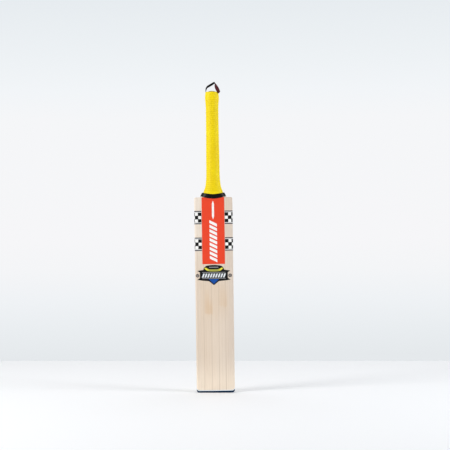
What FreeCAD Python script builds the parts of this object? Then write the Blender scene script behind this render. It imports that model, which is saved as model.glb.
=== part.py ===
import FreeCAD
import Part

import math
import os

# Cricket bat, full size with a short handle, in millimetres.
# The origin is the centre of the toe's resting face. +Z runs up the handle, -Y is the way the
# playing face looks, and +X is to the right of someone looking at that face.

Vector = FreeCAD.Vector

# Blade
BLADE_WIDTH = 108.0
SHOULDER_HEIGHT = 552.0
FACE_AT_TOE = -13.0        # Y of the playing face at the toe
FACE_LEAN = 13.0           # how much further forward it is at the shoulders, so that the bat can stand
FACE_BOW = 6.0             # how far the middle of the face lies behind its two ends
FACE_CROWN = 2.5           # how far the face falls away from its middle to its edges
FACE_CORNER = 5.0          # radius between face and edge
BACK_CORNER = 3.5          # radius between edge and back
SCALLOP_WIDTH = 0.56       # where the scooped back is set, as a share of the half width
SCALLOP_RISE = 0.34        # how far it has risen there, as a share of edge to spine
SPINE_SHOULDER = 0.20      # half width of the rounded spine, as a share of the half width
SPINE_DROP = 0.10          # how far the spine's shoulder lies below its ridge
BACK_KNOTS = [0.0, 0.23, 0.41, 0.59, 0.77, 1.0]   # shares of the back's width at which it is set
TOE_CORNER = 6.5
SHOULDER_CORNER = 5.0
BLADE_STATIONS = [         # height, depth at the spine, depth at the edges
    (-10.0, 28.0, 17.5),
    (0.0, 30.0, 19.0),
    (35.0, 36.0, 23.0),
    (90.0, 46.5, 28.5),
    (150.0, 56.0, 33.5),
    (215.0, 61.0, 36.0),
    (285.0, 58.0, 34.5),
    (355.0, 50.5, 30.0),
    (430.0, 42.5, 25.0),
    (500.0, 36.5, 21.0),
    (560.0, 34.0, 18.5),
]

# Toe guard
TOE_GUARD_HEIGHT = 4.8     # under the middle of the toe
TOE_GUARD_BEND = 10.0      # radius with which its upper side turns up round the toe's corners
TOE_GUARD_OVERHANG = 1.5   # how far past the blade's edges that bend would end

# Handle: height, width and depth of the turned wood, and the room that the loop's tails take
HANDLE_Y = -9.0
HANDLE_ROOT = 540.0
HANDLE_TOP = 848.5
HANDLE_STATIONS = [
    (536.0, 84.0, 31.0, 0.0),
    (549.0, 80.0, 33.4, 0.0),
    (553.0, 75.0, 33.9, 0.0),
    (557.0, 67.0, 33.8, 0.0),
    (562.0, 55.0, 33.4, 0.0),
    (570.0, 48.4, 32.8, 0.0),
    (579.0, 41.6, 32.4, 0.0),
    (590.0, 37.2, 32.0, 0.0),
    (608.0, 34.0, 31.6, 0.0),
    (640.0, 33.0, 31.2, 0.0),
    (700.0, 32.0, 30.8, 0.0),
    (757.0, 31.0, 30.4, 0.0),
    (795.0, 30.8, 30.6, 0.1),
    (812.0, 30.8, 30.9, 0.7),
    (826.0, 31.0, 31.1, 2.9),
    (838.0, 31.1, 31.2, 3.4),
    (860.0, 31.1, 31.2, 3.4),
]

# Splice: the V of the handle inside the blade
SPLICE_TIP = 412.0
SPLICE_TIP_WIDTH = 5.0
SPLICE_TOP = 560.0
SPLICE_TOP_WIDTH = 50.0

# Canes and rubber springs inside the handle
SPRING_THICKNESS = 1.2
SPRING_SPACING = 8.4
CANE_COLUMN_WIDTH = 12.6
ROW_NAMES = ["front", "inner_front", "inner_back", "back"]
COLUMN_NAMES = ["left", "middle", "right"]
SPRING_NAMES = ["front", "middle", "back"]

# What is wound or pulled over the handle
TWINE_THICKNESS = 0.6
TWINE_BOTTOM = 567.0
TWINE_TOP = 847.0
GRIP_THICKNESS = 1.7
GRIP_CLEARANCE = 0.05      # between the grip and the twine under it
GRIP_TOP = 850.0
GRIP_RIM_RADIUS = 1.1
CAP_WIDTH = 23.0
CAP_DOME = 4.8
CAP_DOME_RADIUS = 30.0

# Collar between grip and blade: its two edges are arcs, lower at the middle than at the sides
COLLAR_TOP_MIDDLE = 560.9
COLLAR_TOP_SIDE = 566.5
COLLAR_BOTTOM_MIDDLE = 548.4
COLLAR_BOTTOM_SIDE = 555.4
COLLAR_HALF_WIDTH = 35.0
COLLAR_LIP = 1.2           # thickness of the lip that hangs over the blade's face
COLLAR_LIP_HALF = 33.6
COLLAR_STATIONS = [        # height, width, depth of the outside
    (540.0, 75.5, 37.6),
    (550.0, 74.6, 37.8),
    (557.0, 71.8, 38.1),
    (561.5, 67.4, 38.3),
    (566.5, 62.8, 38.5),
    (572.0, 58.0, 38.7),
]

# Hanging loop
STRAP_WIDTH = 9.0
STRAP_THICKNESS = 1.3
TAIL_BOTTOM = 806.0
LOOP_PIVOT = 855.2         # height of the axis about which the loop flops
LOOP_BOTTOM = 850.6
LOOP_LEFT = -16.9
LOOP_RIGHT = 17.2
LOOP_ROUTE = [             # X and Z of the strap's middle, from its left end to its right end
    (LOOP_LEFT, LOOP_BOTTOM),
    (-14.2, 864.0),
    (5.8, 878.2),
    (LOOP_RIGHT, LOOP_BOTTOM),
]
LOOP_BENDS = [4.0, 2.6]

# Printed stickers
STICKER_THICKNESS = 0.25
PRINTS_X = -1.2            # the stickers on the face are centred a little to the left
LABEL_WIDTH = 63.8
LABEL_BOTTOM = 363.4
LABEL_CORNER = 1.5
BACK_LABEL_WIDTH = 56.0
BACK_LABEL_BOTTOM = 330.0
BACK_LABEL_TOP = 536.0
BACK_LABEL_CORNER = 6.0
WRAP_INNER = 32.9          # distance of the wraps' inner ends from the middle of the label
WRAP_HEIGHT = 37.6
WRAP_BOTTOMS = {"lower": 401.0, "upper": 476.4}
BADGE_MIDDLE = 330.9
BADGE_FOOT_TIP = 27.2      # depth of the foot's point below the badge's middle
BADGE_SIDE = [             # right side of the badge from the foot up, from its own middle
    (14.0, -15.9),         # where foot and ribbon meet
    (28.5, -14.6),
    (47.2, -12.2),         # lower tail of the ribbon
    (39.4, -6.9),          # notch
    (39.4, 9.0),
    (46.6, 13.6),          # upper tail
    (29.3, 16.2),          # where ribbon and dome meet
    (28.3, 20.5),
]
BADGE_DOME_CORNER = (23.6, 25.8)
BADGE_DOME_SHOULDER = (15.5, 28.7)
BADGE_DOME_TOP = 29.8
EMBLEM_RADIUS = 5.0
EMBLEM_X = 46.1            # from the badge's middle

FAR = 1200.0               # a length that reaches past the bat
TOLERANCE = 0.01


def face_y(height):
    """Y of the middle of the playing face, which leans forward and bows gently."""
    middle = SHOULDER_HEIGHT / 2
    share = (height - middle) / middle
    return FACE_AT_TOE - FACE_LEAN * height / SHOULDER_HEIGHT + FACE_BOW * (1 - share * share)


def arc(start, middle, end):
    return Part.Arc(start, middle, end).toShape()


def line(start, end):
    return Part.LineSegment(start, end).toShape()


def around(centre, radius, degrees, height):
    """The point of a flat circle at an angle from +X."""
    angle = math.radians(degrees)
    return Vector(centre[0] + radius * math.cos(angle), centre[1] + radius * math.sin(angle), height)


def mirrored(point):
    return Vector(-point.x, point.y, point.z)


def blade_section(height, spine, edge, grow):
    """One closed section of the blade: crowned face, rounded edges, scooped back and a spine."""
    half = BLADE_WIDTH / 2 + grow
    front = face_y(height) - grow
    corner = FACE_CORNER + grow
    face_radius = (half * half + FACE_CROWN * FACE_CROWN) / (2 * FACE_CROWN)
    centre_x = half - corner
    centre_y = front + face_radius - math.sqrt((face_radius - corner) ** 2 - centre_x ** 2)
    tilt = math.degrees(math.atan2(centre_x, front + face_radius - centre_y))
    face_end = around((centre_x, centre_y), corner, tilt - 90, height)
    corner_middle = around((centre_x, centre_y), corner, (tilt - 90) / 2, height)
    edge_start = Vector(half, centre_y, height)

    back_corner = BACK_CORNER + grow
    back = face_y(height) + edge + grow
    ridge = face_y(height) + spine + grow
    slope = math.degrees(math.atan2((ridge - back) * SCALLOP_RISE, half * (1 - SCALLOP_WIDTH)))
    back_centre = (half - back_corner, back - back_corner)
    edge_end = Vector(half, back_centre[1], height)
    back_middle = around(back_centre, back_corner, (90 - slope) / 2, height)
    back_start = around(back_centre, back_corner, 90 - slope, height)
    scallop = Vector(half * SCALLOP_WIDTH, back + (ridge - back) * SCALLOP_RISE, height)
    shoulder = Vector(half * SPINE_SHOULDER, ridge - (ridge - back) * SPINE_DROP, height)

    back_curve = Part.BSplineCurve()
    angle = math.radians(slope)
    back_curve.interpolate(
        Points=[back_start, scallop, shoulder, mirrored(shoulder), mirrored(scallop), mirrored(back_start)],
        Parameters=BACK_KNOTS,
        InitialTangent=Vector(-math.cos(angle), math.sin(angle), 0) * 2 * half,
        FinalTangent=Vector(-math.cos(angle), -math.sin(angle), 0) * 2 * half,
    )
    edges = [
        arc(mirrored(face_end), Vector(0, front, height), face_end),
        arc(face_end, corner_middle, edge_start),
        line(edge_start, edge_end),
        arc(edge_end, back_middle, back_start),
        back_curve.toShape(),
        arc(mirrored(back_start), mirrored(back_middle), mirrored(edge_end)),
        line(mirrored(edge_end), mirrored(edge_start)),
        arc(mirrored(edge_start), mirrored(corner_middle), mirrored(face_end)),
    ]
    return Part.Wire(edges)


def blade_form(grow):
    """The blade's smooth outside with no ends, grown outwards on every side."""
    sections = [blade_section(*station, grow) for station in BLADE_STATIONS]
    return Part.makeLoft(sections, True, False)


def oval(height, width, depth):
    """A closed oval about the handle's axis, as a curve that starts on the +X side."""
    half_x = width / 2
    half_y = depth / 2
    poles = []
    weights = []
    for step in range(8):
        angle = math.radians(45 * step)
        reach = 1.0 if step % 2 == 0 else math.sqrt(2)
        x = half_x * reach * math.cos(angle)
        y = HANDLE_Y + half_y * reach * math.sin(angle)
        poles.append(Vector(x, y, height))
        weights.append(1 / reach)
    poles.append(poles[0])
    weights.append(weights[0])
    curve = Part.BSplineCurve()
    curve.buildFromPolesMultsKnots(
        poles, [3, 2, 2, 2, 3], [0.0, 0.25, 0.5, 0.75, 1.0], False, 2, weights)
    return Part.Wire([curve.toShape()])


def handle_form(grow, tails=0.0):
    """The turned handle, grown outwards; tails is 1 for a sleeve that also holds the loop's tails."""
    sections = []
    for height, width, depth, room in HANDLE_STATIONS:
        wide = width + 2 * grow + tails * room
        deep = depth + 2 * grow
        sections.append(oval(height, wide, deep))
    return Part.makeLoft(sections, True, False)


def block(low, high):
    """A box between two corners."""
    size = Vector(*high) - Vector(*low)
    return Part.makeBox(size.x, size.y, size.z, Vector(*low))


def between(bottom, top):
    """Everything from one height to another."""
    return block((-FAR, -FAR, bottom), (FAR, FAR, top))


def front_prism(edges):
    """A closed outline in the XZ plane, carried through the whole depth of the bat."""
    face = Part.Face(Part.Wire(edges))
    face.translate(Vector(0, -FAR, 0))
    return face.extrude(Vector(0, 2 * FAR, 0))


def rounded_outline(points, radii):
    """A closed outline in the XZ plane whose corners are arcs; a radius of 0 keeps one sharp."""
    count = len(points)
    corners = [Vector(x, 0, z) for x, z in points]
    starts = []
    middles = []
    ends = []
    for index, corner in enumerate(corners):
        before = (corners[index - 1] - corner).normalize()
        after = (corners[(index + 1) % count] - corner).normalize()
        half_angle = before.getAngle(after) / 2
        reach = radii[index] / math.tan(half_angle)
        inward = (before + after).normalize()
        starts.append(corner + before * reach)
        ends.append(corner + after * reach)
        middles.append(corner + inward * (radii[index] / math.sin(half_angle) - radii[index]))
    edges = []
    for index in range(count):
        if radii[index] > 0:
            edges.append(arc(starts[index], middles[index], ends[index]))
        following = (index + 1) % count
        edges.append(line(ends[index], starts[following]))
    return edges


def rounded_panel(left, bottom, right, top, radius):
    """A rectangle in the XZ plane with round corners, carried through the bat."""
    points = [(left, bottom), (right, bottom), (right, top), (left, top)]
    return front_prism(rounded_outline(points, [radius] * 4))


def below_arc(middle, side):
    """Everything below an edge that droops from the sides to the middle of the bat."""
    left = Vector(-COLLAR_HALF_WIDTH, 0, side)
    right = Vector(COLLAR_HALF_WIDTH, 0, side)
    low_left = Vector(-FAR, 0, -FAR)
    low_right = Vector(FAR, 0, -FAR)
    far_left = Vector(-FAR, 0, side)
    far_right = Vector(FAR, 0, side)
    return front_prism([
        line(far_left, left),
        arc(left, Vector(0, 0, middle), right),
        line(right, far_right),
        line(far_right, low_right),
        line(low_right, low_left),
        line(low_left, far_left),
    ])


def blade_end_cutters():
    """Prism that squares off both ends of the blade and rounds its corners in front view."""
    half = BLADE_WIDTH / 2
    points = [(-half, 0.0), (half, 0.0), (half, SHOULDER_HEIGHT), (-half, SHOULDER_HEIGHT)]
    radii = [TOE_CORNER, TOE_CORNER, SHOULDER_CORNER, SHOULDER_CORNER]
    return front_prism(rounded_outline(points, radii))


def wooden_body():
    """Blade and handle as one block of wood, before they are split along the splice."""
    slab = blade_form(0).common(blade_end_cutters())
    handle = handle_form(0).common(between(HANDLE_ROOT, HANDLE_TOP))
    return slab.fuse(handle).removeSplitter()


def above_toe_guard():
    """Everything above the strip of rubber under the toe."""
    half = BLADE_WIDTH / 2 + TOE_GUARD_OVERHANG
    points = [(-half, TOE_GUARD_HEIGHT), (half, TOE_GUARD_HEIGHT), (half, FAR), (-half, FAR)]
    return front_prism(rounded_outline(points, [TOE_GUARD_BEND, TOE_GUARD_BEND, 0.0, 0.0]))


def splice_prism():
    """The V in the blade and everything above it."""
    tip = SPLICE_TIP_WIDTH / 2
    top = SPLICE_TOP_WIDTH / 2
    outline = [
        (-tip, SPLICE_TIP), (tip, SPLICE_TIP), (top, SPLICE_TOP), (FAR, SPLICE_TOP),
        (FAR, FAR), (-FAR, FAR), (-FAR, SPLICE_TOP), (-top, SPLICE_TOP),
    ]
    return front_prism(rounded_outline(outline, [0] * len(outline)))


def handle_layers(handle):
    """Split the handle into rows of canes with rubber springs between them."""
    parts = {}
    gap = SPRING_THICKNESS / 2
    middles = [HANDLE_Y - SPRING_SPACING, HANDLE_Y, HANDLE_Y + SPRING_SPACING]
    row_starts = [-FAR] + [middle + gap for middle in middles]
    row_ends = [middle - gap for middle in middles] + [FAR]
    column = CANE_COLUMN_WIDTH / 2
    column_starts = [-FAR, -column, column]
    column_ends = [-column, column, FAR]
    for row, row_start, row_end in zip(ROW_NAMES, row_starts, row_ends):
        for side, left, right in zip(COLUMN_NAMES, column_starts, column_ends):
            cell = block((left, row_start, 0), (right, row_end, FAR))
            parts["cane_" + row + "_" + side] = handle.common(cell)
    for name, middle in zip(SPRING_NAMES, middles):
        layer = block((-FAR, middle - gap, 0), (FAR, middle + gap, FAR))
        parts["rubber_spring_" + name] = handle.common(layer)
    return parts


def twine_binding():
    sleeve = handle_form(TWINE_THICKNESS).common(between(TWINE_BOTTOM, TWINE_TOP))
    return sleeve.cut(handle_form(0))


def grip_sleeve():
    """Rubber sleeve whose lower edge droops at the middle and whose upper rim is rounded."""
    outside = handle_form(TWINE_THICKNESS + GRIP_THICKNESS, 1.0).common(between(HANDLE_ROOT, GRIP_TOP))
    outside = rounded_rim(outside, GRIP_TOP, GRIP_RIM_RADIUS)
    sleeve = outside.cut(handle_form(TWINE_THICKNESS + GRIP_CLEARANCE, 1.0))
    return sleeve.cut(below_arc(COLLAR_TOP_MIDDLE, COLLAR_TOP_SIDE))


def rounded_rim(solid, height, radius):
    """Round every edge of a solid that lies at one height."""
    rim = [edge for edge in solid.Edges
           if abs(edge.BoundBox.ZMin - height) < TOLERANCE and abs(edge.BoundBox.ZMax - height) < TOLERANCE]
    return solid.makeFillet(radius, rim)


def collar():
    """Black collar that covers the grip's lower end and the top of the blade."""
    sections = [oval(*station) for station in COLLAR_STATIONS]
    band = Part.makeLoft(sections, True, False)
    band = band.common(below_arc(COLLAR_TOP_MIDDLE, COLLAR_TOP_SIDE))
    front = block((-COLLAR_LIP_HALF, -FAR, 0), (COLLAR_LIP_HALF, HANDLE_Y, SHOULDER_HEIGHT))
    lip = blade_form(COLLAR_LIP).common(front)
    return band.fuse(lip).cut(below_arc(COLLAR_BOTTOM_MIDDLE, COLLAR_BOTTOM_SIDE))


def end_cap():
    """Low domed disc glued on the end of the handle."""
    disc = Part.makeCylinder(CAP_WIDTH / 2, CAP_DOME, Vector(0, HANDLE_Y, HANDLE_TOP))
    centre = Vector(0, HANDLE_Y, HANDLE_TOP + CAP_DOME - CAP_DOME_RADIUS)
    return disc.common(Part.makeSphere(CAP_DOME_RADIUS, centre))


def strap_tails():
    """The loop's two ends, tucked between the twine and the grip."""
    room = handle_form(TWINE_THICKNESS, 1.0).common(between(TAIL_BOTTOM, GRIP_TOP))
    room = room.cut(handle_form(TWINE_THICKNESS))
    low = HANDLE_Y - STRAP_WIDTH / 2
    high = HANDLE_Y + STRAP_WIDTH / 2
    return {
        "loop_tail_left": room.common(block((-FAR, low, 0), (0, high, FAR))),
        "loop_tail_right": room.common(block((0, low, 0), (FAR, high, FAR))),
    }


def strap_path(offset):
    """Corner points of the strap's route, moved sideways by an offset."""
    points = [Vector(x, 0, z) for x, z in LOOP_ROUTE]
    directions = [(points[i + 1] - points[i]).normalize() for i in range(len(points) - 1)]
    normals = [Vector(-d.z, 0, d.x) for d in directions]
    shifted = [points[0] + normals[0] * offset]
    for index in range(1, len(points) - 1):
        bisector = (normals[index - 1] + normals[index]).normalize()
        reach = offset / math.cos(bisector.getAngle(normals[index]))
        shifted.append(points[index] + bisector * reach)
    shifted.append(points[-1] + normals[-1] * offset)
    return shifted


def hang_loop():
    """Webbing loop standing on the handle's end, its two ends round about the flopping axis."""
    outer = strap_path(STRAP_THICKNESS / 2)
    inner = strap_path(-STRAP_THICKNESS / 2)
    points = [(p.x, p.z) for p in outer] + [(p.x, p.z) for p in reversed(inner)]
    outer_radii = [0.0] + [bend + STRAP_THICKNESS / 2 for bend in LOOP_BENDS] + [0.0]
    inner_radii = [0.0] + [bend - STRAP_THICKNESS / 2 for bend in reversed(LOOP_BENDS)] + [0.0]
    band = front_prism(rounded_outline(points, outer_radii + inner_radii))
    half = STRAP_WIDTH / 2
    strip = band.common(block((-FAR, HANDLE_Y - half, LOOP_BOTTOM), (FAR, HANDLE_Y + half, FAR)))
    rounding = Part.makeCylinder(half, 2 * FAR, Vector(-FAR, HANDLE_Y, LOOP_PIVOT), Vector(1, 0, 0))
    lower = strip.common(between(0, LOOP_PIVOT)).common(rounding)
    upper = strip.common(between(LOOP_PIVOT, FAR))
    return upper.fuse(lower).removeSplitter()


def blade_skin():
    """A thin film all over the blade, from which every sticker is cut."""
    return blade_form(STICKER_THICKNESS).common(between(0, SHOULDER_HEIGHT)).cut(blade_form(0))


def front_half():
    return block((-FAR, -FAR, 0), (FAR, HANDLE_Y, FAR))


def back_half():
    return block((-FAR, HANDLE_Y, 0), (FAR, FAR, FAR))


def front_label(skin, body):
    """Tall plain label from the collar down the middle of the face."""
    half = LABEL_WIDTH / 2
    panel = rounded_panel(PRINTS_X - half, LABEL_BOTTOM, PRINTS_X + half, COLLAR_TOP_SIDE, LABEL_CORNER)
    panel = panel.common(below_arc(COLLAR_BOTTOM_MIDDLE, COLLAR_BOTTOM_SIDE))
    return skin.common(panel).common(front_half()).cut(body)


def back_label(skin):
    half = BACK_LABEL_WIDTH / 2
    panel = rounded_panel(-half, BACK_LABEL_BOTTOM, half, BACK_LABEL_TOP, BACK_LABEL_CORNER)
    return skin.common(panel).common(back_half())


def edge_wraps(skin):
    """Four chequered bands that go round the blade's edges from face to back."""
    wraps = {}
    for level, bottom in WRAP_BOTTOMS.items():
        top = bottom + WRAP_HEIGHT
        left_band = block((-FAR, -FAR, bottom), (PRINTS_X - WRAP_INNER, FAR, top))
        right_band = block((PRINTS_X + WRAP_INNER, -FAR, bottom), (FAR, FAR, top))
        wraps["edge_wrap_" + level + "_left"] = skin.common(left_band)
        wraps["edge_wrap_" + level + "_right"] = skin.common(right_band)
    return wraps


def badge_outline():
    """A plain notched ribbon with a flat dome above it and a pointed foot below."""
    def at(x, up):
        return Vector(PRINTS_X + x, 0, BADGE_MIDDLE + up)

    right = [at(x, up) for x, up in BADGE_SIDE]
    left = [at(-x, up) for x, up in reversed(BADGE_SIDE)]
    points = left + [at(0, -BADGE_FOOT_TIP)] + right
    edges = [line(start, end) for start, end in zip(points, points[1:])]
    corner_x, corner_up = BADGE_DOME_CORNER
    shoulder_x, shoulder_up = BADGE_DOME_SHOULDER
    right_shoulder = at(shoulder_x, shoulder_up)
    left_shoulder = at(-shoulder_x, shoulder_up)
    edges.append(arc(right[-1], at(corner_x, corner_up), right_shoulder))
    edges.append(arc(right_shoulder, at(0, BADGE_DOME_TOP), left_shoulder))
    edges.append(arc(left_shoulder, at(-corner_x, corner_up), left[0]))
    return edges


def badge(skin):
    return skin.common(front_prism(badge_outline())).common(front_half())


def emblems(skin):
    """Two small round stickers in the notches of the badge."""
    discs = {}
    for side, x in (("left", PRINTS_X - EMBLEM_X), ("right", PRINTS_X + EMBLEM_X)):
        disc = Part.makeCylinder(EMBLEM_RADIUS, FAR, Vector(x, 0, BADGE_MIDDLE), Vector(0, -1, 0))
        discs["round_sticker_" + side] = skin.common(disc)
    return discs


def build():
    """Every sub-part by name."""
    parts = {}
    body = wooden_body()
    splice = splice_prism()
    handle = body.common(splice)
    blade = body.cut(splice)
    wood = above_toe_guard()
    parts["blade"] = blade.common(wood)
    parts["toe_guard"] = blade.cut(wood)
    parts.update(handle_layers(handle))
    parts["twine_binding"] = twine_binding()
    parts["grip"] = grip_sleeve()
    parts["collar"] = collar().cut(body)
    parts["end_cap"] = end_cap()
    parts.update(strap_tails())
    parts["hang_loop"] = hang_loop()
    skin = blade_skin()
    parts["front_label"] = front_label(skin, body)
    parts["back_label"] = back_label(skin)
    parts["badge"] = badge(skin)
    parts.update(edge_wraps(skin))
    parts.update(emblems(skin))
    return parts


def main():
    os.makedirs("parts", exist_ok=True)
    for name, shape in build().items():
        solids = shape.Solids
        volume = sum(solid.Volume for solid in solids)
        print(name, "solids", len(solids), "volume", round(volume, 1), "valid", shape.isValid())
        shape.exportStep("parts/" + name + ".step")


main()
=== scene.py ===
import math

import bpy
from mathutils import Matrix, Vector
from mathutils.bvhtree import BVHTree


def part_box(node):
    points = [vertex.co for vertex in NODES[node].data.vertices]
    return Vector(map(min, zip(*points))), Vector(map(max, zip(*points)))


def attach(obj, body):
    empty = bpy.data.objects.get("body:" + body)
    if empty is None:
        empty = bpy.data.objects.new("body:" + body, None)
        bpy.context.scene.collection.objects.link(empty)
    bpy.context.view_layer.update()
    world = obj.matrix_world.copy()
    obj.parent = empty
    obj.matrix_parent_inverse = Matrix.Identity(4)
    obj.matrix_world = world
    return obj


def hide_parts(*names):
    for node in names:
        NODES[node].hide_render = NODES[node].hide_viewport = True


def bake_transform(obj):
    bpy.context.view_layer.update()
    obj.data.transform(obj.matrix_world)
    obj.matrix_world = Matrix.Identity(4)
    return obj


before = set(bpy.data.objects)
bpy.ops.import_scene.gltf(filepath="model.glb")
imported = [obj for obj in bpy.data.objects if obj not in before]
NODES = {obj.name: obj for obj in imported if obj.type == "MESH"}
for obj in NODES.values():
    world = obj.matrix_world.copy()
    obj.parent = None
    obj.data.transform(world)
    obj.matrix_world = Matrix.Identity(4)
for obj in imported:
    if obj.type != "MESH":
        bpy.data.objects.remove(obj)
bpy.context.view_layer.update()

MM = 0.001
PRINT_EDGE = 0.12 * MM             # how sharp painted and printed edges are

# ---------------------------------------------------------------- sizes taken from the frame

BLADE_LOW, BLADE_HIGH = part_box("blade")
GRIP_LOW, GRIP_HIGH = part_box("grip")
LABEL_LOW, LABEL_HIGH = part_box("front_label")
BADGE_LOW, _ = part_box("badge")
HANDLE_Y = (GRIP_LOW.y + GRIP_HIGH.y) / 2
HALF_BLADE = BLADE_HIGH.x
PRINTS_X = (LABEL_LOW.x + LABEL_HIGH.x) / 2

# ---------------------------------------------------------------- camera

LEAN = math.radians(0.77)          # how far the bat leans to the left of upright
CAMERA_DISTANCE = 3.5              # from the playing face
CAMERA_HEIGHT = 0.4733
CAMERA_SIDE = 0.0322
FRAME_PIXELS = 450
METRES_PER_PIXEL = 2.827 * MM      # at the playing face
SENSOR = 36.0


def add_camera():
    data = bpy.data.cameras.new("camera")
    data.sensor_width = SENSOR
    data.lens = SENSOR * CAMERA_DISTANCE / (METRES_PER_PIXEL * FRAME_PIXELS)
    camera = bpy.data.objects.new("camera", data)
    bpy.context.scene.collection.objects.link(camera)
    right = Vector((math.cos(LEAN), 0, -math.sin(LEAN)))
    up = Vector((math.sin(LEAN), 0, math.cos(LEAN)))
    back = Vector((0, -1, 0))
    place = Vector((CAMERA_SIDE, BLADE_LOW.y + 11 * MM - CAMERA_DISTANCE, CAMERA_HEIGHT))
    camera.matrix_world = Matrix((
        (right.x, up.x, back.x, place.x),
        (right.y, up.y, back.y, place.y),
        (right.z, up.z, back.z, place.z),
        (0, 0, 0, 1),
    ))
    bpy.context.scene.camera = camera


# ---------------------------------------------------------------- colours and shader building

def srgb(red, green, blue):
    """A colour given on the usual 0 to 255 scale, as linear light with full alpha."""
    linear = []
    for value in (red, green, blue):
        share = value / 255
        linear.append(share / 12.92 if share <= 0.04045 else ((share + 0.055) / 1.055) ** 2.4)
    return (*linear, 1.0)


class Shader:
    """A material and short spellings for the nodes that colour it, in the bat's own metres."""

    def __init__(self, name, roughness=0.5, specular=0.5):
        self.material = bpy.data.materials.new(name)
        self.material.use_nodes = True
        self.tree = self.material.node_tree
        self.surface = self.tree.nodes["Principled BSDF"]
        self.surface.inputs["Roughness"].default_value = roughness
        self.surface.inputs["Specular IOR Level"].default_value = specular
        coordinates = self.add("ShaderNodeTexCoord")
        self.place = coordinates.outputs["Object"]
        split = self.add("ShaderNodeSeparateXYZ")
        self.put(split.inputs[0], self.place)
        self.x, self.y, self.z = split.outputs
        facing = self.add("ShaderNodeSeparateXYZ")
        self.put(facing.inputs[0], coordinates.outputs["Normal"])
        self.facing_x, self.facing_y, self.facing_z = facing.outputs

    def add(self, kind, **settings):
        node = self.tree.nodes.new(kind)
        for key, value in settings.items():
            setattr(node, key, value)
        return node

    def put(self, socket, value):
        if isinstance(value, bpy.types.NodeSocket):
            self.tree.links.new(value, socket)
        else:
            socket.default_value = value

    def math(self, operation, *values):
        node = self.add("ShaderNodeMath", operation=operation)
        for socket, value in zip(node.inputs, values):
            self.put(socket, value)
        return node.outputs[0]

    def plus(self, *values):
        total = values[0]
        for value in values[1:]:
            total = self.math("ADD", total, value)
        return total

    def times(self, *values):
        product = values[0]
        for value in values[1:]:
            product = self.math("MULTIPLY", product, value)
        return product

    def minus(self, a, b):
        return self.math("SUBTRACT", a, b)

    def least(self, *values):
        result = values[0]
        for value in values[1:]:
            result = self.math("MINIMUM", result, value)
        return result

    def most(self, *values):
        result = values[0]
        for value in values[1:]:
            result = self.math("MAXIMUM", result, value)
        return result

    def inverse(self, value):
        return self.math("SUBTRACT", 1.0, value)

    def size_of(self, value):
        return self.math("ABSOLUTE", value)

    def rise(self, value, low, high):
        """0 below low, 1 above high, and a smooth step between."""
        node = self.add("ShaderNodeMapRange", interpolation_type="SMOOTHSTEP")
        self.put(node.inputs["Value"], value)
        self.put(node.inputs["From Min"], low)
        self.put(node.inputs["From Max"], high)
        return node.outputs["Result"]

    def scaled(self, value, from_low, from_high, to_low, to_high):
        node = self.add("ShaderNodeMapRange")
        sockets = ("Value", "From Min", "From Max", "To Min", "To Max")
        for socket, given in zip(sockets, (value, from_low, from_high, to_low, to_high)):
            self.put(node.inputs[socket], given)
        return node.outputs["Result"]

    def within(self, value, low, high, soft):
        """1 between low and high, fading over a soft edge."""
        opening = self.rise(value, low - soft, low + soft)
        closing = self.rise(value, high - soft, high + soft)
        return self.minus(opening, closing)

    def inside(self, distance, soft):
        """1 where a distance is negative."""
        return self.inverse(self.rise(distance, -soft, soft))

    def vector(self, x, y, z):
        node = self.add("ShaderNodeCombineXYZ")
        for socket, value in zip(node.inputs, (x, y, z)):
            self.put(socket, value)
        return node.outputs[0]

    def noise(self, per_metre, detail=2.0, roughness=0.5, distortion=0.0, offset=0.0):
        """Noise with its own number of grains to the metre along X, Y and Z, from 0 to 1."""
        node = self.add("ShaderNodeTexNoise")
        scaled = [self.plus(self.times(axis, rate), offset)
                  for axis, rate in zip((self.x, self.y, self.z), per_metre)]
        self.put(node.inputs["Vector"], self.vector(*scaled))
        node.inputs["Scale"].default_value = 1.0
        node.inputs["Detail"].default_value = detail
        node.inputs["Roughness"].default_value = roughness
        node.inputs["Distortion"].default_value = distortion
        return node.outputs["Fac"]

    def mix(self, low, high, share):
        """A colour between two colours."""
        node = self.add("ShaderNodeMix", data_type="RGBA")
        self.put(node.inputs["Factor"], share)
        colours = [socket for socket in node.inputs if socket.type == "RGBA"]
        self.put(colours[0], low)
        self.put(colours[1], high)
        return next(socket for socket in node.outputs if socket.type == "RGBA")

    def colour(self, value):
        self.put(self.surface.inputs["Base Color"], value)

    def rough(self, value):
        self.put(self.surface.inputs["Roughness"], value)

    def bump(self, height, depth, strength=1.0, normal=None):
        """Relief of a depth in metres."""
        node = self.add("ShaderNodeBump")
        node.inputs["Strength"].default_value = strength
        node.inputs["Distance"].default_value = depth
        self.put(node.inputs["Height"], height)
        if normal is not None:
            self.put(node.inputs["Normal"], normal)
        self.put(self.surface.inputs["Normal"], node.outputs["Normal"])
        return node.outputs["Normal"]

    def bevel(self, radius):
        """Softened edges, as sanding leaves them."""
        node = self.add("ShaderNodeBevel", samples=8)
        node.inputs["Radius"].default_value = radius
        return node.outputs["Normal"]


def finish_with(shader, *names):
    """Give CAD nodes this shader's material."""
    for name in names:
        slots = NODES[name].data.materials
        slots.clear()
        slots.append(shader.material)


# ---------------------------------------------------------------- willow

GUARD_MIDDLE = 4.8 * MM            # height of the toe guard's upper side under the middle of the toe
GUARD_BEND = 10 * MM               # radius of the arc with which it turns up at the corners
GUARD_FLAT = 45.5 * MM             # from the middle to where the arc starts
HIGHLIGHT_ON_WOOD = 2.0 * MM            # how far the painted highlight shows above the joint
HIGHLIGHT_ON_RUBBER = 0.3 * MM          # and below it
# colour of the painted highlight along the joint between the toe guard and the wood
HIGHLIGHT_PALE = srgb(228, 238, 244)


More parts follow.
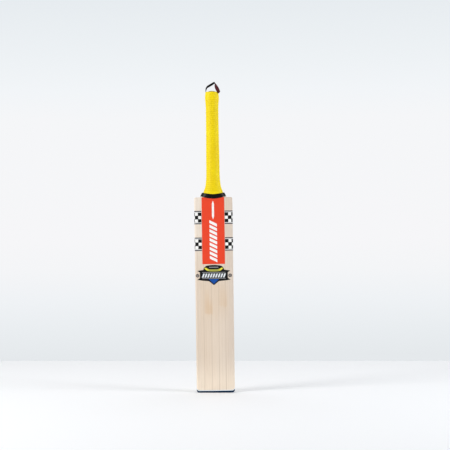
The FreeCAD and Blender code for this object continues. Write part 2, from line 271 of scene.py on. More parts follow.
def above_guard(shader):
    """Height above the joint between the toe guard and the wood."""
    past = shader.most(shader.minus(shader.size_of(shader.x), GUARD_FLAT), 0.0)
    drop = shader.math("SQRT", shader.most(shader.minus(GUARD_BEND ** 2, shader.times(past, past)), 0.0))
    return shader.minus(shader.z, shader.minus(GUARD_MIDDLE + GUARD_BEND, drop))


# Growth rings seen on the face: distance from the middle in millimetres, width and darkness
RINGS = (
    (-48.5, 1.3, 0.30), (-41.5, 1.0, 0.16), (-32.0, 2.2, 0.60), (-26.5, 1.0, 0.22),
    (-18.5, 0.9, 0.16), (-10.5, 2.1, 0.54), (-2.5, 0.8, 0.10), (4.0, 0.8, 0.12),
    (10.0, 2.2, 0.56), (19.0, 1.2, 0.28), (29.0, 2.2, 0.56), (35.5, 1.0, 0.30),
    (41.0, 1.0, 0.24), (47.5, 1.0, 0.22),
)
# Strips warmed by oil under the badge: from and to in X, foot and upper end in Z, and strength
STAINS = (
    (-31.0, -24.5, 224, 318, 0.55), (-24.5, -17.5, 223, 312, 0.95), (-17.5, -7.0, 221, 276, 0.80),
    (8.5, 15.0, 246, 330, 0.30), (15.0, 27.5, 243, 322, 0.55), (27.5, 33.0, 240, 300, 0.75),
)
WILLOW_PALE = srgb(234, 220, 205)
WILLOW_WARM = srgb(224, 203, 180)
WILLOW_TOE = srgb(250, 234, 214)
# painted shade: greyer tone that darkens the blade towards its edges and on its right side
WILLOW_SHADE = srgb(214, 201, 190)
WILLOW_SAP = srgb(247, 236, 223)
WILLOW_RING = srgb(190, 168, 142)
WILLOW_STAIN = srgb(218, 186, 150)


def ring_lines(shader, across):
    """Darkness of the growth rings at a distance across the blade."""
    total = 0.0
    for middle, width, darkness in RINGS:
        away = shader.size_of(shader.minus(across, middle * MM))
        line = shader.inverse(shader.rise(away, 0.0, width * MM))
        total = shader.plus(total, shader.times(line, darkness))
    return total


def stains(shader, across, up):
    """Warm strips with uneven feet that fade out upwards."""
    total = 0.0
    for left, right, foot, head, strength in STAINS:
        sides = shader.within(across, left * MM, right * MM, 1.6 * MM)
        lower = shader.rise(up, (foot - 3) * MM, (foot + 4) * MM)
        fading = shader.inverse(shader.rise(up, (foot + 12) * MM, head * MM))
        total = shader.plus(total, shader.times(sides, lower, fading, strength))
    return total


def willow():
    shader = Shader("willow", roughness=0.55, specular=0.25)
    sway = shader.minus(shader.noise((4, 9, 5), detail=1.0), 0.5)
    across = shader.plus(shader.x, shader.times(sway, 3.2 * MM), shader.times(shader.y, 0.10))
    rings = ring_lines(shader, across)
    broken = shader.scaled(shader.noise((90, 60, 9), detail=3.0), 0.3, 0.75, 0.45, 1.15)
    rings = shader.least(shader.times(rings, broken), 1.0)
    fibres = shader.noise((1500, 900, 26), detail=4.0, roughness=0.62)
    streaks = shader.noise((210, 120, 3.2), detail=3.0, roughness=0.55, offset=3.0)
    tone = shader.noise((22, 14, 2.2), detail=2.0, offset=7.0)
    warm = shader.scaled(tone, 0.3, 0.72, 0.0, 0.75)
    colour = shader.mix(WILLOW_PALE, WILLOW_WARM, warm)
    streak_share = shader.scaled(streaks, 0.42, 0.75, 0.0, 0.42)
    colour = shader.mix(colour, WILLOW_WARM, streak_share)
    # painted shade: the face darkened towards both edges and more on the right side, as the bowed face
    # turns from the light
    edge_shade = shader.rise(shader.size_of(shader.x), 32 * MM, 50 * MM)
    right_shade = shader.rise(shader.x, 4 * MM, 40 * MM)
    painted_side_shade = shader.plus(shader.times(edge_shade, 0.22), shader.times(right_shade, 0.26))
    colour = shader.mix(colour, WILLOW_SHADE, painted_side_shade)
    to_toe = shader.inverse(shader.rise(shader.z, 12 * MM, 110 * MM))
    colour = shader.mix(colour, WILLOW_TOE, shader.times(to_toe, 0.8))
    sap_side = shader.inverse(shader.rise(shader.x, -45 * MM, -22 * MM))
    sap = shader.times(sap_side, shader.rise(shader.z, 340 * MM, 470 * MM))
    colour = shader.mix(colour, WILLOW_SAP, shader.times(sap, 0.5))
    handled = shader.times(shader.within(shader.z, 215 * MM, 315 * MM, 30 * MM),
                           shader.inverse(shader.rise(shader.size_of(shader.x), 30 * MM, 46 * MM)))
    colour = shader.mix(colour, WILLOW_WARM, shader.times(handled, 0.5))
    colour = shader.mix(colour, WILLOW_RING, shader.times(rings, 0.8))
    fibre_share = shader.scaled(fibres, 0.45, 0.8, 0.0, 0.30)
    colour = shader.mix(colour, WILLOW_RING, fibre_share)
    uneven = shader.minus(shader.noise((160, 90, 12), detail=3.0, offset=5.0), 0.5)
    up = shader.plus(shader.z, shader.times(uneven, 16 * MM))
    oiled = shader.times(stains(shader, across, up), shader.scaled(streaks, 0.3, 0.7, 0.35, 0.8))
    colour = shader.mix(colour, WILLOW_STAIN, oiled)
    # painted highlight: a pale bluish-white line on the wood just above the toe guard
    joint_highlight = shader.inverse(
        shader.rise(above_guard(shader), HIGHLIGHT_ON_WOOD - PRINT_EDGE, HIGHLIGHT_ON_WOOD + PRINT_EDGE))
    shader.colour(shader.mix(colour, HIGHLIGHT_PALE, joint_highlight))
    shader.rough(shader.scaled(fibres, 0.3, 0.7, 0.48, 0.62))
    relief = shader.plus(shader.times(fibres, 0.6), shader.times(rings, -0.5))
    shader.bump(relief, 0.12 * MM, 0.6, shader.bevel(1.2 * MM))
    return shader


# ---------------------------------------------------------------- handle inside

def cane():
    shader = Shader("cane", roughness=0.42, specular=0.45)
    fibres = shader.noise((900, 900, 14), detail=4.0, roughness=0.6)
    tone = shader.noise((60, 60, 4), detail=2.0, offset=2.0)
    colour = shader.mix(srgb(222, 196, 146), srgb(196, 160, 104), shader.scaled(tone, 0.3, 0.7, 0.0, 1.0))
    pores = shader.rise(fibres, 0.56, 0.66)
    colour = shader.mix(colour, srgb(128, 92, 54), shader.times(pores, 0.55))
    shader.colour(colour)
    shader.bump(fibres, 0.15 * MM, 0.5)
    return shader


def spring_rubber():
    shader = Shader("spring_rubber", roughness=0.7, specular=0.3)
    grain = shader.noise((1400, 1400, 1400), detail=2.0)
    shader.colour(shader.mix(srgb(46, 40, 36), srgb(66, 58, 52), grain))
    shader.bump(grain, 0.05 * MM, 0.5)
    return shader


TWINE_PITCH = 0.7 * MM


def twine():
    shader = Shader("twine", roughness=0.6, specular=0.35)
    angle = shader.math("ARCTAN2", shader.minus(shader.y, HANDLE_Y), shader.x)
    turns = shader.plus(shader.times(shader.z, 1 / TWINE_PITCH), shader.times(angle, 1 / math.tau))
    across = shader.size_of(shader.minus(shader.math("FRACT", turns), 0.5))
    round_thread = shader.inverse(shader.times(across, across, 4.0))
    strand = shader.noise((700, 700, 1500), detail=2.0)
    colour = shader.mix(srgb(206, 182, 140), srgb(168, 138, 94), shader.scaled(strand, 0.3, 0.7, 0.0, 1.0))
    gap = shader.rise(across, 0.36, 0.5)
    shader.colour(shader.mix(colour, srgb(104, 80, 52), shader.times(gap, 0.8)))
    shader.bump(shader.plus(round_thread, shader.times(strand, 0.2)), 0.3 * MM, 0.9)
    return shader


# ---------------------------------------------------------------- grip and collar sleeves

RIB_PITCH = 5.65 * MM
RIB_DEPTH = 0.55 * MM
RIB_PROUD = 0.25 * MM              # how far the ribs' crests stand out of the CAD sleeve
RIB_ROWS = 10                      # rows of vertices to a rib
RIB_FADE = 6 * MM
PLAIN_TOP = 14 * MM                # smooth rubber under the rim
PLAIN_BOTTOM = 3 * MM
COLLAR_TOP_ROUNDING = 1.8 * MM
COLLAR_FOOT_ROUNDING = 0.6 * MM
COLLAR_ROWS = 28                   # rows of vertices up the collar's outside
INSIDE_ROWS = 24                   # and up the inside of either sleeve
SLEEVE_SIDES = 112
OUTSIDE_REACH = 100 * MM           # from the axis to a point outside every sleeve
EDGE_MARGIN = 0.02 * MM            # kept clear of the sleeve's end faces
WALL_SEARCH_STEPS = 22


def smooth_step(value, low, high):
    share = min(max((value - low) / (high - low), 0.0), 1.0)
    return share * share * (3 - 2 * share)


def rib_groove(height, _floor, _top):
    """How far the grip is sunk at a height: narrow grooves between broad, slightly proud ribs."""
    phase = (height - GRIP_LOW.z) / RIB_PITCH
    groove = (0.5 + 0.5 * math.cos(math.tau * phase)) ** 2
    lower = smooth_step(height, GRIP_LOW.z + PLAIN_BOTTOM, GRIP_LOW.z + PLAIN_BOTTOM + RIB_FADE)
    upper = 1 - smooth_step(height, GRIP_HIGH.z - PLAIN_TOP - 2 * RIB_FADE, GRIP_HIGH.z - PLAIN_TOP)
    return (RIB_DEPTH * groove - RIB_PROUD) * lower * upper


def rounded_edges(height, floor, top):
    """How far the collar is sunk at a height to round its two edges."""
    sunk = 0.0
    for reach, radius in ((height - floor, COLLAR_FOOT_ROUNDING), (top - height, COLLAR_TOP_ROUNDING)):
        short = radius - min(reach, radius)
        sunk += radius - math.sqrt(radius ** 2 - short ** 2)
    return sunk


def wall_end(tree, outward, inside, outside):
    """Height at which a sleeve's wall ends, looking one way from the axis, between two heights."""
    for _ in range(WALL_SEARCH_STEPS):
        middle = (inside + outside) / 2
        if tree.ray_cast(Vector((0, HANDLE_Y, middle)), outward)[0] is None:
            outside = middle
        else:
            inside = middle
    return inside


def sleeve_piece(name, node, rows, relief):
    """A closed sleeve that follows both walls of a CAD sleeve, with a relief on its outside."""
    source = NODES[node].data
    tree = BVHTree.FromPolygons(
        [vertex.co for vertex in source.vertices], [polygon.vertices for polygon in source.polygons])
    low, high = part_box(node)
    sound = (low.z + high.z) / 2
    vertices = []
    for side in range(SLEEVE_SIDES):
        angle = math.tau * side / SLEEVE_SIDES
        outward = Vector((math.cos(angle), math.sin(angle), 0))
        floor = wall_end(tree, outward, sound, low.z - MM) + EDGE_MARGIN
        top = wall_end(tree, outward, sound, high.z + MM) - EDGE_MARGIN
        for row in range(rows + 1):
            height = floor + (top - floor) * row / rows
            start = Vector((0, HANDLE_Y, height)) + outward * OUTSIDE_REACH
            hit = tree.ray_cast(start, -outward)[0]
            vertices.append(hit - outward * relief(height, floor, top))
        for row in range(INSIDE_ROWS + 1):
            height = top + (floor - top) * row / INSIDE_ROWS
            vertices.append(tree.ray_cast(Vector((0, HANDLE_Y, height)), outward)[0])
    count = rows + INSIDE_ROWS + 2
    faces = []
    for side in range(SLEEVE_SIDES):
        here = side * count
        there = (side + 1) % SLEEVE_SIDES * count
        for row in range(count):
            above = (row + 1) % count
            faces.append((here + row, there + row, there + above, here + above))
    return new_piece(name, vertices, faces)


def new_piece(name, vertices, faces, smooth=True):
    mesh = bpy.data.meshes.new(name)
    mesh.from_pydata([tuple(v) for v in vertices], [], faces)
    mesh.validate()
    mesh.update()
    if smooth:
        mesh.shade_smooth()
    piece = bpy.data.objects.new(name, mesh)
    bpy.context.scene.collection.objects.link(piece)
    return piece


def grip_rubber():
    shader = Shader("grip_rubber", roughness=0.48, specular=0.22)
    mottle = shader.noise((26, 26, 18), detail=3.0)
    colour = shader.mix(srgb(246, 222, 2), srgb(240, 210, 0), shader.scaled(mottle, 0.3, 0.7, 0.0, 1.0))
    phase = shader.times(shader.minus(shader.z, GRIP_LOW.z), 1 / RIB_PITCH)
    away = shader.size_of(shader.minus(shader.math("FRACT", shader.plus(phase, 0.5)), 0.5))
    lower = shader.rise(shader.z, GRIP_LOW.z + PLAIN_BOTTOM, GRIP_LOW.z + PLAIN_BOTTOM + RIB_FADE)
    upper = shader.inverse(
        shader.rise(shader.z, GRIP_HIGH.z - PLAIN_TOP - 2 * RIB_FADE, GRIP_HIGH.z - PLAIN_TOP))
    groove = shader.times(shader.inverse(shader.rise(away, 0.02, 0.20)), lower, upper)
    # painted shade: a darker yellow laid into the grooves between the ribs
    shader.colour(shader.mix(colour, srgb(206, 168, 0), shader.times(groove, 0.75)))
    stipple = shader.noise((1600, 1600, 1600), detail=2.0)
    shader.rough(shader.scaled(stipple, 0.3, 0.7, 0.42, 0.56))
    shader.bump(stipple, 0.04 * MM, 0.6)
    return shader


# ---------------------------------------------------------------- collar, cap and toe guard

def black_collar():
    shader = Shader("black_collar", roughness=0.3, specular=0.16)
    grain = shader.noise((260, 260, 900), detail=2.0)
    shader.colour(shader.mix(srgb(4, 4, 5), srgb(12, 12, 13), grain))
    shader.rough(shader.scaled(grain, 0.3, 0.7, 0.24, 0.36))
    shader.bump(grain, 0.05 * MM, 0.3)
    return shader


def black_cap():
    shader = Shader("black_cap", roughness=0.5, specular=0.4)
    grain = shader.noise((1200, 1200, 1200), detail=2.0)
    shader.colour(shader.mix(srgb(30, 31, 28), srgb(48, 49, 44), grain))
    shader.bump(grain, 0.04 * MM, 0.6, shader.bevel(0.5 * MM))
    return shader


def toe_rubber():
    """Blue rubber with a painted highlight: a pale line along the wood."""
    shader = Shader("toe_rubber", roughness=0.55, specular=0.08)
    grain = shader.noise((900, 900, 900), detail=3.0)
    colour = shader.mix(srgb(0, 26, 54), srgb(4, 40, 74), shader.scaled(grain, 0.3, 0.7, 0.0, 1.0))
    # painted highlight: the same pale line on the rubber just below the joint
    joint_highlight = shader.rise(above_guard(shader), -HIGHLIGHT_ON_RUBBER - PRINT_EDGE, -HIGHLIGHT_ON_RUBBER + PRINT_EDGE)
    shader.colour(shader.mix(colour, HIGHLIGHT_PALE, joint_highlight))
    shader.bump(grain, 0.06 * MM, 0.5, shader.bevel(0.6 * MM))
    return shader


# ---------------------------------------------------------------- printed stickers

RED = srgb(234, 70, 40)
WHITE = srgb(248, 247, 244)
BLACK = srgb(8, 8, 9)
YELLOW = srgb(240, 232, 70)
OLIVE = srgb(168, 166, 74)
BLUE = srgb(14, 76, 160)
GREY = srgb(84, 78, 76)
PALE_GREY = srgb(168, 168, 170)


def printed(name):
    """A shader for satin film over wood, with the film's slight unevenness."""
    shader = Shader(name, roughness=0.4, specular=0.2)
    film = shader.noise((120, 120, 60), detail=3.0)
    shader.rough(shader.scaled(film, 0.3, 0.7, 0.34, 0.48))
    shader.bump(film, 0.05 * MM, 0.35)
    return shader


def bars(shader, across, along, half_width, bottom, top, count, slant, filled=0.66):
    """A ladder of slanted bars, as many as count, that fill a share of their pitch."""
    pitch = (top - bottom) / count
    slid = shader.plus(shader.minus(along, bottom), shader.times(across, slant))
    step = shader.math("FRACT", shader.times(slid, 1 / pitch))
    rung = shader.within(step, 0.5 - filled / 2, 0.5 + filled / 2, PRINT_EDGE / pitch)
    column = shader.within(across, -half_width, half_width, PRINT_EDGE)
    reach = shader.within(slid, 0.0, top - bottom, PRINT_EDGE)
    return shader.times(rung, column, reach)


def pointed_bar(shader, across, along, half_width, point, bottom, top):
    """An upright bar whose two ends taper to points."""
    middle = (bottom + top) / 2
    from_middle = shader.size_of(shader.minus(along, middle))
    beyond = shader.most(shader.minus(from_middle, (top - bottom) / 2 - point), 0.0)
    narrowed = shader.times(beyond, half_width / point)
    distance = shader.minus(shader.plus(shader.size_of(across), narrowed), half_width)
    return shader.inside(distance, PRINT_EDGE)


def red_label():
    shader = printed("red_label")
    base = LABEL_LOW.z
    across = shader.minus(shader.x, PRINTS_X)
    ladder = bars(shader, across, shader.z, 10.5 * MM, base + 8 * MM, base + 121 * MM, 9, 0.5)
    bar = pointed_bar(shader, across, shader.z, 3.0 * MM, 9 * MM, base + 126 * MM, base + 179 * MM)
    shader.colour(shader.mix(RED, WHITE, shader.most(ladder, bar)))
    return shader


def back_label_print():
    shader = printed("back_label_print")
    low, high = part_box("back_label")
    ladder = bars(shader, shader.x, shader.z, 9 * MM, low.z + 30 * MM, high.z - 30 * MM, 10, -0.5)
    border = shader.rise(shader.size_of(shader.x), 23.5 * MM, 23.5 * MM + PRINT_EDGE)
    colour = shader.mix(RED, WHITE, ladder)
    shader.colour(shader.mix(colour, BLACK, border))
    return shader


CHECK_ACROSS = 9.4 * MM            # width of one square
CHECK_ROWS = 3
CHECK_BORDER = 3.0 * MM            # dark line along the top and the bottom
CHECK_MARGIN = 1.6 * MM            # white between that line and the squares
CHECK_OFFSET = 10.0                # even number of squares that keeps the count above zero
INK_SPREAD = 0.5 * MM              # how far the black squares spread into the white ones


def cell(shader, value):
    """Parity of the cell that a value counts, and how far inside its cell it lies, up to a half."""
    parity = shader.math("MODULO", shader.math("FLOOR", value), 2.0)
    return parity, shader.minus(0.5, shader.size_of(shader.minus(shader.math("FRACT", value), 0.5)))


def chequer_print(side, level):
    """Chequers that run from the label's side round the blade's edge."""
    shader = printed("chequer_print_" + level + "_" + side)
    low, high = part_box("edge_wrap_" + level + "_" + side)
    inner = min(abs(low.x), abs(high.x))
    from_label = shader.minus(shader.size_of(shader.x), inner)
    round_edge = shader.plus(shader.minus(shader.y, low.y), HALF_BLADE - inner)
    on_edge = shader.rise(shader.size_of(shader.facing_x), 0.70, 0.71)
    distance = shader.plus(
        shader.times(from_label, shader.inverse(on_edge)), shader.times(round_edge, on_edge))
    checks_low = low.z + CHECK_BORDER + CHECK_MARGIN
    checks_high = high.z - CHECK_BORDER - CHECK_MARGIN
    check_up = (checks_high - checks_low) / CHECK_ROWS
    column, column_depth = cell(shader, shader.plus(shader.times(distance, 1 / CHECK_ACROSS), CHECK_OFFSET))
    row, row_depth = cell(shader, shader.times(shader.minus(shader.z, checks_low), 1 / check_up))
    odd = shader.size_of(shader.minus(column, row))
    depth = shader.least(shader.times(column_depth, CHECK_ACROSS), shader.times(row_depth, check_up))
    white = shader.times(odd, shader.rise(depth, INK_SPREAD - PRINT_EDGE, INK_SPREAD + PRINT_EDGE))
    body = shader.within(shader.z, checks_low, checks_high, PRINT_EDGE)
    colour = shader.mix(WHITE, shader.mix(BLACK, WHITE, white), body)
    line = shader.inverse(shader.within(
        shader.z, low.z + CHECK_BORDER, high.z - CHECK_BORDER, PRINT_EDGE))
    shader.colour(shader.mix(colour, srgb(58, 58, 70), line))
    return shader


BADGE_FOOT = 27.2 * MM             # depth of the badge's point below the ribbon's middle
BADGE_MIDDLE = BADGE_LOW.z + BADGE_FOOT
BOWL_HALF = 26.5 * MM
TEXT_HALF = 33.5 * MM


def badge_print():
    """Black ribbon with slanted bars, a yellow bowl above them and a blue foot below."""
    shader = printed("badge_print")
    up = shader.minus(shader.z, BADGE_MIDDLE)
    x = shader.minus(shader.x, PRINTS_X)
    across = shader.size_of(x)
    fourth = shader.math("POWER", shader.times(across, 1 / BOWL_HALF), 4.0)
    bowl_foot = shader.plus(shader.times(fourth, 9.5 * MM), 11.6 * MM)
    bowl_top = shader.plus(shader.times(fourth, 10.0 * MM), 17.6 * MM)
    bowl = shader.times(shader.rise(up, bowl_foot, shader.plus(bowl_foot, PRINT_EDGE)),
                        shader.inverse(shader.rise(up, bowl_top, shader.plus(bowl_top, PRINT_EDGE))),
                        shader.inside(shader.minus(up, 22 * MM), PRINT_EDGE))
    bright = shader.rise(across, 12 * MM, 21 * MM)
    foot_edge = shader.plus(shader.times(across, 0.95), -24.0 * MM)
    foot = shader.times(shader.rise(up, foot_edge, shader.plus(foot_edge, PRINT_EDGE)),
                        shader.inside(shader.plus(up, 10.2 * MM), 1.2 * MM))
    ladder = bars(shader, up, shader.plus(x, TEXT_HALF), 5.6 * MM, 0.0, 2 * TEXT_HALF, 9, -0.35, 0.62)
    colour = shader.mix(BLACK, shader.mix(OLIVE, YELLOW, bright), bowl)
    colour = shader.mix(colour, BLUE, foot)
    colour = shader.mix(colour, srgb(226, 230, 234), ladder)
    for level, half, thick in ((8.9, 33, 0.7), (-8.3, 33, 0.7), (23.6, 13, 1.1)):
        away = shader.size_of(shader.minus(up, level * MM))
        line = shader.times(shader.inside(shader.minus(away, thick * MM), PRINT_EDGE),
                            shader.inside(shader.minus(across, half * MM), PRINT_EDGE))
        colour = shader.mix(colour, PALE_GREY, shader.times(line, 0.8))
    shader.colour(colour)
    return shader


def dot_print(side):
    shader = printed("dot_print_" + side)
    low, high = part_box("round_sticker_" + side)
    middle = (low + high) / 2
    away_x = shader.minus(shader.x, middle.x)
    away_z = shader.minus(shader.z, middle.z)
    radius = shader.math("SQRT", shader.plus(shader.times(away_x, away_x), shader.times(away_z, away_z)))
    ring = shader.within(radius, 1.5 * MM, 2.4 * MM, PRINT_EDGE)
    shader.colour(shader.mix(GREY, srgb(196, 186, 176), ring))
    return shader


# ---------------------------------------------------------------- hanging loop

STRAP_WIDTH = 10.2 * MM
STRAP_THICKNESS = 1.3 * MM
STRAP_STATIONS = 260
STRAP_SIDE_POINTS = 9
# Middle of the strap in millimetres from the middle of the grip's rim, the way its width points,
# and how far its curled selvedges leave of that width, from the left tail to the right one
STRAP_ROUTE = (
    ((-16.3, 0.0, -43.5), (0.0, 1.0, 0.0), 0.9),
    ((-17.0, 0.0, -22.0), (0.0, 1.0, 0.0), 0.9),
    ((-17.1, 0.0, -6.0), (0.0, 1.0, 0.0), 0.9),
    ((-17.0, 0.0, 3.0), (0.08, 1.0, 0.0), 0.92),
    ((-16.2, 0.0, 8.6), (0.24, 1.0, -0.10), 1.0),
    ((-13.6, 0.0, 13.4), (0.24, 1.0, -0.26), 1.0),
    ((-8.6, -0.2, 17.0), (0.26, 1.0, -0.46), 1.0),
    ((-0.4, -0.5, 21.6), (0.26, 1.0, -0.46), 1.0),
    ((4.8, -0.8, 25.0), (0.16, 1.0, -0.46), 1.0),
    ((8.4, -1.1, 25.9), (0.10, 1.0, -0.30), 1.0),
    ((10.6, -1.8, 22.8), (0.34, 0.94, 0.05), 1.0),
    ((12.2, -3.4, 16.8), (0.72, 0.66, 0.24), 1.0),
    ((14.4, -6.0, 10.6), (0.93, 0.12, 0.36), 1.0),
    ((16.8, -8.8, 5.0), (0.90, 0.22, 0.38), 1.0),
    ((18.3, -10.8, 0.8), (0.86, 0.30, 0.42), 0.88),
    ((20.1, -10.4, -1.6), (0.80, 0.05, 0.60), 0.72),
    ((21.2, -7.6, -1.9), (0.66, -0.35, 0.66), 0.66),
    ((21.4, -4.4, 0.0), (0.42, -0.80, 0.42), 0.72),
    ((20.4, -1.8, 2.2), (0.20, -0.97, 0.12), 0.82),
    ((18.6, -0.4, 2.7), (0.0, -1.0, 0.0), 0.88),
    ((17.4, 0.0, 0.6), (0.0, -1.0, 0.0), 0.9),
    ((17.2, 0.0, -6.0), (0.0, -1.0, 0.0), 0.9),
    ((17.0, 0.0, -22.0), (0.0, -1.0, 0.0), 0.9),
    ((16.3, 0.0, -43.5), (0.0, -1.0, 0.0), 0.9),
)


def through(points, share):
    """A smooth line through points, at a share of its length from 0 to 1."""
    spans = len(points) - 1
    index = min(int(share * spans), spans - 1)
    t = share * spans - index
    before = points[max(index - 1, 0)]
    start = points[index]
    end = points[index + 1]
    after = points[min(index + 2, spans)]
    slope_in = (end - before) / 2
    slope_out = (after - start) / 2
    leaving = start * (2 * t ** 3 - 3 * t ** 2 + 1) + slope_in * (t ** 3 - 2 * t ** 2 + t)
    return leaving + end * (3 * t ** 2 - 2 * t ** 3) + slope_out * (t ** 3 - t ** 2)


def strap_section():
    """Outline of the webbing: flat, with thinner selvedges; first its outer face, then its inner."""
    outline = []
    for side in (1, -1):
        for step in range(STRAP_SIDE_POINTS):
            share = 2 * step / (STRAP_SIDE_POINTS - 1) - 1
            thickness = STRAP_THICKNESS / 2 * (1 - 0.5 * share ** 6)
            outline.append((share * side * STRAP_WIDTH / 2, thickness * side))
    return outline


def strap_piece():
    rim = Vector((0, HANDLE_Y, GRIP_HIGH.z))
    middles = [rim + Vector(point) * MM for point, _, _ in STRAP_ROUTE]
    widths = [Vector(way).normalized() for _, way, _ in STRAP_ROUTE]
    shares = [share for _, _, share in STRAP_ROUTE]
    outline = strap_section()
    count = len(outline)
    vertices = []
    places = []
    travelled = 0.0
    last = middles[0]
    for station in range(STRAP_STATIONS + 1):
        share = station / STRAP_STATIONS
        centre = through(middles, share)
        ahead = through(middles, min(share + 0.001, 1)) - through(middles, max(share - 0.001, 0))
        ahead.normalize()
        width = through(widths, share)
        width = (width - ahead * width.dot(ahead)).normalized()
        normal = ahead.cross(width)
        narrowed = through(shares, share)
        travelled += (centre - last).length
        last = centre
        for across, height in outline:
            vertices.append(centre + width * across * narrowed + normal * height)
            places.append((across, travelled))
    faces = [tuple(reversed(range(count)))]
    for station in range(STRAP_STATIONS):
        here = station * count
        there = here + count
        for index in range(count):
            following = (index + 1) % count
            faces.append((here + index, here + following, there + following, there + index))
    faces.append(tuple(range(STRAP_STATIONS * count, (STRAP_STATIONS + 1) * count)))
    piece = new_piece("webbing_loop", vertices, faces)
    weave_places = piece.data.uv_layers.new(name="weave")
    for loop in piece.data.loops:
        weave_places.data[loop.index].uv = places[loop.vertex_index]
    outer_face = STRAP_SIDE_POINTS - 1
    for polygon in piece.data.polygons:
        if polygon.index > 0 and (polygon.index - 1) % count >= outer_face:
            polygon.material_index = 1
    return piece


THREAD = 0.75 * MM


def webbing(name, thread, gap, edge, sheen):
    """Plain weave that follows the strap, with darker selvedges."""
    shader = Shader(name, roughness=0.7, specular=0.12)
    shader.surface.inputs["Sheen Weight"].default_value = sheen
    place = shader.add("ShaderNodeUVMap", uv_map="weave")
    split = shader.add("ShaderNodeSeparateXYZ")
    shader.put(split.inputs[0], place.outputs[0])
    across, along, _ = split.outputs
    waves = shader.times(
        shader.math("SINE", shader.times(across, math.pi / THREAD)),
        shader.math("SINE", shader.times(along, math.pi / THREAD)))
    fibre = shader.noise((1500, 1500, 1500), detail=3.0)
    height = shader.plus(shader.times(waves, 0.5), shader.times(fibre, 0.5))
    colour = shader.mix(gap, thread, shader.scaled(height, -0.3, 0.8, 0.0, 1.0))
    selvedge = shader.rise(shader.size_of(across), STRAP_WIDTH * 0.34, STRAP_WIDTH * 0.46)
    shader.colour(shader.mix(colour, edge, selvedge))
    shader.bump(height, 0.2 * MM, 0.5)
    return shader


# ---------------------------------------------------------------- stage and light

TABLE_BEHIND = 0.81                # from the playing face to the table's far edge
TABLE_FRONT = -4.6                 # its near edge
TABLE_SIDE = 4.0
TABLE_DROP = HALF_BLADE * math.tan(LEAN)
# Backdrop tones by how steeply one looks up or down at it, as a rise over a distance of 1
BACKDROP = (
    (-0.104, (229, 233, 236)), (-0.085, (233, 237, 240)), (-0.060, (239, 242, 245)),
    (-0.036, (244, 245, 247)), (-0.012, (246, 246, 248)), (0.085, (245, 246, 248)),
    (0.108, (242, 245, 248)), (0.132, (238, 242, 245)), (0.179, (231, 236, 240)),
)
AMBIENT = 0.48                     # strength of the light from all round


def add_table():
    """The table is level while the bat leans, so it is turned and its surface meets a toe corner."""
    turn = Matrix.Rotation(LEAN, 3, "Y")
    corners = ((-TABLE_SIDE, TABLE_FRONT), (TABLE_SIDE, TABLE_FRONT),
               (TABLE_SIDE, TABLE_BEHIND), (-TABLE_SIDE, TABLE_BEHIND))
    vertices = [turn @ Vector((x, y, -TABLE_DROP)) for x, y in corners]
    table = new_piece("table", vertices, [(0, 1, 2, 3)], smooth=False)
    shader = Shader("table", roughness=0.6, specular=0.1)
    shader.colour(srgb(247, 248, 250))
    table.data.materials.append(shader.material)


def add_world():
    """Even studio light all round; looked at, it is a plain backdrop with a soft gradient."""
    world = bpy.data.worlds.new("studio")
    world.use_nodes = True
    tree = world.node_tree
    backdrop = tree.nodes["Background"]
    direction = tree.nodes.new("ShaderNodeTexCoord")
    split = tree.nodes.new("ShaderNodeSeparateXYZ")
    tree.links.new(direction.outputs["Generated"], split.inputs[0])
    lowest, highest = BACKDROP[0][0], BACKDROP[-1][0]
    share = tree.nodes.new("ShaderNodeMapRange")
    share.inputs["From Min"].default_value = lowest
    share.inputs["From Max"].default_value = highest
    tree.links.new(split.outputs["Z"], share.inputs["Value"])
    ramp = tree.nodes.new("ShaderNodeValToRGB")
    while len(ramp.color_ramp.elements) < len(BACKDROP):
        ramp.color_ramp.elements.new(1.0)
    for element, (rise, tone) in zip(ramp.color_ramp.elements, BACKDROP):
        element.position = (rise - lowest) / (highest - lowest)
        element.color = srgb(*tone)
    tree.links.new(share.outputs["Result"], ramp.inputs[0])
    tree.links.new(ramp.outputs["Color"], backdrop.inputs["Color"])
    ambient = tree.nodes.new("ShaderNodeBackground")
    ambient.inputs["Color"].default_value = (0.96, 0.98, 1.0, 1.0)
    ambient.inputs["Strength"].default_value = AMBIENT
    seen = tree.nodes.new("ShaderNodeLightPath")
    choice = tree.nodes.new("ShaderNodeMixShader")
    tree.links.new(seen.outputs["Is Camera Ray"], choice.inputs["Fac"])
    tree.links.new(ambient.outputs[0], choice.inputs[1])
    tree.links.new(backdrop.outputs[0], choice.inputs[2])
    tree.links.new(choice.outputs[0], tree.nodes["World Output"].inputs["Surface"])
    bpy.context.scene.world = world


SOFTBOX_AIM = Vector((0, 0, 0.4))
KEY_POWER = 46
FILL_POWER = 30
TOP_POWER = 15


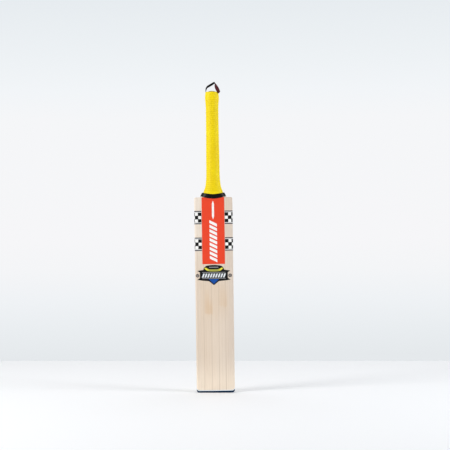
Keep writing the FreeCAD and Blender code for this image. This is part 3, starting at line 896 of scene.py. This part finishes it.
def add_softbox(name, place, size, power, colour):
    data = bpy.data.lights.new(name, "AREA")
    data.shape = "RECTANGLE"
    data.size, data.size_y = size
    data.energy = power
    data.color = colour
    lamp = bpy.data.objects.new(name, data)
    lamp.location = place
    lamp.rotation_euler = (SOFTBOX_AIM - Vector(place)).to_track_quat("-Z", "Y").to_euler()
    bpy.context.scene.collection.objects.link(lamp)


def add_lights():
    add_softbox("key", (-2.3, -1.3, 1.5), (1.0, 1.6), KEY_POWER, (1.0, 0.985, 0.96))
    add_softbox("fill", (2.4, -0.7, 1.3), (1.0, 1.6), FILL_POWER, (0.97, 0.985, 1.0))
    add_softbox("top", (0, 0.9, 2.2), (2.6, 1.4), TOP_POWER, (1.0, 1.0, 1.0))


# ---------------------------------------------------------------- putting it together

bpy.context.scene.view_settings.view_transform = "Standard"
add_camera()
add_table()
add_world()
add_lights()

finish_with(willow(), "blade")
finish_with(toe_rubber(), "toe_guard")
cane_finish = cane()
finish_with(cane_finish, *[name for name in NODES if name.startswith("cane_")])
finish_with(spring_rubber(), *[name for name in NODES if name.startswith("rubber_spring_")])
finish_with(twine(), "twine_binding")
finish_with(black_cap(), "end_cap")
finish_with(red_label(), "front_label")
finish_with(back_label_print(), "back_label")
finish_with(badge_print(), "badge")
for side in ("left", "right"):
    finish_with(dot_print(side), "round_sticker_" + side)
    for level in ("lower", "upper"):
        finish_with(chequer_print(side, level), "edge_wrap_" + level + "_" + side)

grip_rows = int((GRIP_HIGH.z - GRIP_LOW.z) / RIB_PITCH * RIB_ROWS)
grip = sleeve_piece("ribbed_grip", "grip", grip_rows, rib_groove)
grip.data.materials.append(grip_rubber().material)
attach(grip, "bat")
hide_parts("grip")

ring = sleeve_piece("rounded_collar", "collar", COLLAR_ROWS, rounded_edges)
ring.data.materials.append(black_collar().material)
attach(ring, "bat")
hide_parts("collar")

strap = strap_piece()
maroon = webbing("maroon_weave", srgb(104, 26, 40), srgb(48, 4, 10), srgb(26, 4, 8), 0.2)
black = webbing("black_weave", srgb(16, 11, 12), srgb(3, 2, 3), srgb(5, 4, 4), 0.0)
strap.data.materials.append(maroon.material)
strap.data.materials.append(black.material)
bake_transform(strap)
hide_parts("hang_loop", "loop_tail_left", "loop_tail_right")
